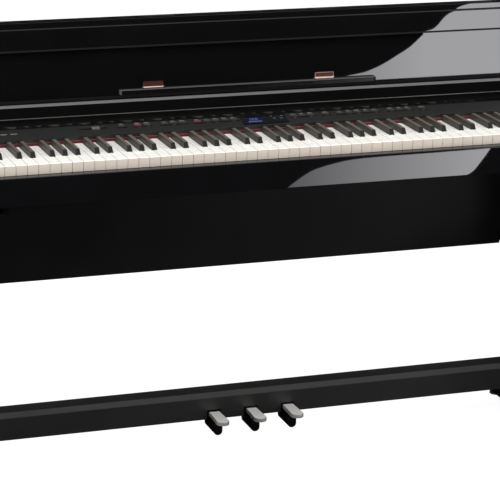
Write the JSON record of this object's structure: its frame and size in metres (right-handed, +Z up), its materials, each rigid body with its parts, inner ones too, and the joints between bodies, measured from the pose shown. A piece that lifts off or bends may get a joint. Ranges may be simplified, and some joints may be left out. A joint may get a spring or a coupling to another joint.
{
  "type": "digital piano on stand",
  "caption": "Upright-style digital piano with a raised folding lid, music ledge, sloped control panel, full keyboard, back panel and a pedal rail with sprung pedals.",
  "frame": {"origin": "on the floor, in the middle of the width and of the depth", "axes": "+X to the player's right, +Y to the back, +Z up"},
  "size_m": [1.4, 0.344, 0.967],
  "materials": {
    "polished_black": "fibreboard under polished black lacquer",
    "satin_black_board": "fibreboard with a satin black skin",
    "panel_plastic": "satin black",
    "button_plastic": "dark grey",
    "lit_button_plastic": "translucent red, lit",
    "display_glass": "black window",
    "display_lcd": "blue display",
    "white_key_plastic": "white",
    "black_key_plastic": "satin black",
    "chassis_steel": "zinc-plated",
    "red_felt": "dark red felt",
    "hinge_brass": "brushed",
    "hinge_black": "black, to match the lid",
    "circuit_board": "green",
    "speaker_black": "black",
    "pad_rubber": "black",
    "pedal_chrome": "polished",
    "lever_plastic": "black"
  },
  "bodies": {
    "cabinet": {"side_board_left": "polished_black", "side_board_right": "polished_black", "foot_pads": "pad_rubber", "key_bed": "satin_black_board", "front_rail": "polished_black", "key_blocks": "polished_black", "back_panel": "satin_black_board", "cabinet_back": "satin_black_board", "rear_top_board": "polished_black", "key_chassis": "chassis_steel", "key_felts": "red_felt", "hinge_wall": "polished_black", "lid_hinge_fixed": "hinge_brass", "control_panel": "panel_plastic", "display_window": "display_glass", "display_lcd": "display_lcd", "circuit_boards": "circuit_board", "speakers": "speaker_black", "power_inlet": "panel_plastic", "headphone_box": "panel_plastic", "pedal_rail": "polished_black", "pedal_bracket": "chassis_steel", "pedal_pin": "chassis_steel"},
    "lid": {"lid_panel": "polished_black", "lid_shelf": "polished_black", "lid_hinge_moving": "hinge_brass", "flap_hinge_fixed": "hinge_black", "music_ledge": "panel_plastic"},
    "flap": {"lid_flap": "polished_black", "flap_hinge_moving": "hinge_black"},
    "holder_left": {"page_holder_left": "hinge_brass"},
    "holder_right": {"page_holder_right": "hinge_brass"},
    "slider": {"volume_slider": "button_plastic"},
    "power_button_body": {"power_button": "button_plastic"},
    "lit_buttons_body": {"lit_buttons": "lit_button_plastic"},
    "left_buttons_body": {"left_buttons": "button_plastic"},
    "right_buttons_body": {"right_buttons": "button_plastic"},
    "display_buttons_body": {"display_buttons": "button_plastic"},
    "key_c4_body": {"key_c4": "white_key_plastic"},
    "key_d4_body": {"key_d4": "white_key_plastic"},
    "key_e4_body": {"key_e4": "white_key_plastic"},
    "key_f4_body": {"key_f4": "white_key_plastic"},
    "key_g4_body": {"key_g4": "white_key_plastic"},
    "key_a4_body": {"key_a4": "white_key_plastic"},
    "key_b4_body": {"key_b4": "white_key_plastic"},
    "key_c4_sharp_body": {"key_c4_sharp": "black_key_plastic"},
    "key_d4_sharp_body": {"key_d4_sharp": "black_key_plastic"},
    "key_f4_sharp_body": {"key_f4_sharp": "black_key_plastic"},
    "key_g4_sharp_body": {"key_g4_sharp": "black_key_plastic"},
    "key_a4_sharp_body": {"key_a4_sharp": "black_key_plastic"},
    "white_keys_low_body": {"white_keys_low": "white_key_plastic"},
    "white_keys_high_body": {"white_keys_high": "white_key_plastic"},
    "black_keys_low_body": {"black_keys_low": "black_key_plastic"},
    "black_keys_high_body": {"black_keys_high": "black_key_plastic"},
    "pedal_left": {"pedal_cap_left": "pedal_chrome", "pedal_lever_left": "lever_plastic"},
    "pedal_middle": {"pedal_cap_middle": "pedal_chrome", "pedal_lever_middle": "lever_plastic"},
    "pedal_right": {"pedal_cap_right": "pedal_chrome", "pedal_lever_right": "lever_plastic"}
  },
  "joints": [
    {"name": "lid_hinge", "type": "hinge", "parent": "cabinet", "child": "lid", "pos_m": [0, 0.091, 0.763], "axis": [1, 0, 0], "range_deg": [0, 90]},
    {"name": "flap_hinge", "type": "hinge", "parent": "lid", "child": "flap", "pos_m": [0, 0.091, 0.965], "axis": [1, 0, 0], "range_deg": [-135, 0]},
    {"name": "page_holder_left_tilt", "type": "hinge", "parent": "lid", "child": "holder_left", "pos_m": [-0.2026, 0.0887, 0.8106], "axis": [1, 0, 0], "range_deg": [0, 90]},
    {"name": "page_holder_right_tilt", "type": "hinge", "parent": "lid", "child": "holder_right", "pos_m": [0.192, 0.0887, 0.8106], "axis": [1, 0, 0], "range_deg": [0, 90]},
    {"name": "volume_slide", "type": "slide", "parent": "cabinet", "child": "slider", "axis": [1, 0, 0], "range_m": [-0.023, 0.013]},
    {"name": "power_button_press", "type": "slide", "parent": "cabinet", "child": "power_button_body", "axis": [0, 0.2589, -0.9659], "range_m": [0, 0.0008], "stiffness_N_per_m": 500, "springref_m": -0.001},
    {"name": "lit_buttons_press", "type": "slide", "parent": "cabinet", "child": "lit_buttons_body", "axis": [0, 0.2589, -0.9659], "range_m": [0, 0.0008], "stiffness_N_per_m": 500, "springref_m": -0.001},
    {"name": "left_buttons_press", "type": "slide", "parent": "cabinet", "child": "left_buttons_body", "axis": [0, 0.2589, -0.9659], "range_m": [0, 0.0008], "stiffness_N_per_m": 500, "springref_m": -0.001},
    {"name": "right_buttons_press", "type": "slide", "parent": "cabinet", "child": "right_buttons_body", "axis": [0, 0.2589, -0.9659], "range_m": [0, 0.0008], "stiffness_N_per_m": 500, "springref_m": -0.001},
    {"name": "display_buttons_press", "type": "slide", "parent": "cabinet", "child": "display_buttons_body", "axis": [0, 0.2589, -0.9659], "range_m": [0, 0.0008], "stiffness_N_per_m": 500, "springref_m": -0.001},
    {"name": "key_c4_press", "type": "hinge", "parent": "cabinet", "child": "key_c4_body", "pos_m": [0, 0.066, 0.704], "axis": [1, 0, 0], "range_deg": [0, 2.7], "stiffness_Nm_per_rad": 1, "springref_deg": -10.03},
    {"name": "key_d4_press", "type": "hinge", "parent": "cabinet", "child": "key_d4_body", "pos_m": [0, 0.066, 0.704], "axis": [1, 0, 0], "range_deg": [0, 2.7], "stiffness_Nm_per_rad": 1, "springref_deg": -10.03},
    {"name": "key_e4_press", "type": "hinge", "parent": "cabinet", "child": "key_e4_body", "pos_m": [0, 0.066, 0.704], "axis": [1, 0, 0], "range_deg": [0, 2.7], "stiffness_Nm_per_rad": 1, "springref_deg": -10.03},
    {"name": "key_f4_press", "type": "hinge", "parent": "cabinet", "child": "key_f4_body", "pos_m": [0, 0.066, 0.704], "axis": [1, 0, 0], "range_deg": [0, 2.7], "stiffness_Nm_per_rad": 1, "springref_deg": -10.03},
    {"name": "key_g4_press", "type": "hinge", "parent": "cabinet", "child": "key_g4_body", "pos_m": [0, 0.066, 0.704], "axis": [1, 0, 0], "range_deg": [0, 2.7], "stiffness_Nm_per_rad": 1, "springref_deg": -10.03},
    {"name": "key_a4_press", "type": "hinge", "parent": "cabinet", "child": "key_a4_body", "pos_m": [0, 0.066, 0.704], "axis": [1, 0, 0], "range_deg": [0, 2.7], "stiffness_Nm_per_rad": 1, "springref_deg": -10.03},
    {"name": "key_b4_press", "type": "hinge", "parent": "cabinet", "child": "key_b4_body", "pos_m": [0, 0.066, 0.704], "axis": [1, 0, 0], "range_deg": [0, 2.7], "stiffness_Nm_per_rad": 1, "springref_deg": -10.03},
    {"name": "key_c4_sharp_press", "type": "hinge", "parent": "cabinet", "child": "key_c4_sharp_body", "pos_m": [0, 0.066, 0.704], "axis": [1, 0, 0], "range_deg": [0, 2.7], "stiffness_Nm_per_rad": 1, "springref_deg": -10.03},
    {"name": "key_d4_sharp_press", "type": "hinge", "parent": "cabinet", "child": "key_d4_sharp_body", "pos_m": [0, 0.066, 0.704], "axis": [1, 0, 0], "range_deg": [0, 2.7], "stiffness_Nm_per_rad": 1, "springref_deg": -10.03},
    {"name": "key_f4_sharp_press", "type": "hinge", "parent": "cabinet", "child": "key_f4_sharp_body", "pos_m": [0, 0.066, 0.704], "axis": [1, 0, 0], "range_deg": [0, 2.7], "stiffness_Nm_per_rad": 1, "springref_deg": -10.03},
    {"name": "key_g4_sharp_press", "type": "hinge", "parent": "cabinet", "child": "key_g4_sharp_body", "pos_m": [0, 0.066, 0.704], "axis": [1, 0, 0], "range_deg": [0, 2.7], "stiffness_Nm_per_rad": 1, "springref_deg": -10.03},
    {"name": "key_a4_sharp_press", "type": "hinge", "parent": "cabinet", "child": "key_a4_sharp_body", "pos_m": [0, 0.066, 0.704], "axis": [1, 0, 0], "range_deg": [0, 2.7], "stiffness_Nm_per_rad": 1, "springref_deg": -10.03},
    {"name": "white_keys_low_press", "type": "hinge", "parent": "cabinet", "child": "white_keys_low_body", "pos_m": [0, 0.066, 0.704], "axis": [1, 0, 0], "range_deg": [0, 2.7], "stiffness_Nm_per_rad": 23, "springref_deg": -10.03},
    {"name": "white_keys_high_press", "type": "hinge", "parent": "cabinet", "child": "white_keys_high_body", "pos_m": [0, 0.066, 0.704], "axis": [1, 0, 0], "range_deg": [0, 2.7], "stiffness_Nm_per_rad": 22, "springref_deg": -10.03},
    {"name": "black_keys_low_press", "type": "hinge", "parent": "cabinet", "child": "black_keys_low_body", "pos_m": [0, 0.066, 0.704], "axis": [1, 0, 0], "range_deg": [0, 2.7], "stiffness_Nm_per_rad": 16, "springref_deg": -10.03},
    {"name": "black_keys_high_press", "type": "hinge", "parent": "cabinet", "child": "black_keys_high_body", "pos_m": [0, 0.066, 0.704], "axis": [1, 0, 0], "range_deg": [0, 2.7], "stiffness_Nm_per_rad": 15, "springref_deg": -10.03},
    {"name": "pedal_left_press", "type": "hinge", "parent": "cabinet", "child": "pedal_left", "pos_m": [-0.087, 0.007, 0.078], "axis": [1, 0, 0], "range_deg": [0, 7], "stiffness_Nm_per_rad": 5, "springref_deg": -17.19},
    {"name": "pedal_middle_press", "type": "hinge", "parent": "cabinet", "child": "pedal_middle", "pos_m": [0, 0.007, 0.078], "axis": [1, 0, 0], "range_deg": [0, 7], "stiffness_Nm_per_rad": 5, "springref_deg": -17.19},
    {"name": "pedal_right_press", "type": "hinge", "parent": "cabinet", "child": "pedal_right", "pos_m": [0.087, 0.007, 0.078], "axis": [1, 0, 0], "range_deg": [0, 7], "stiffness_Nm_per_rad": 5, "springref_deg": -17.19}
  ],
  "couplings": [
    {"joint": "flap_hinge", "follows": "lid_hinge", "ratio": -1.5}
  ]
}
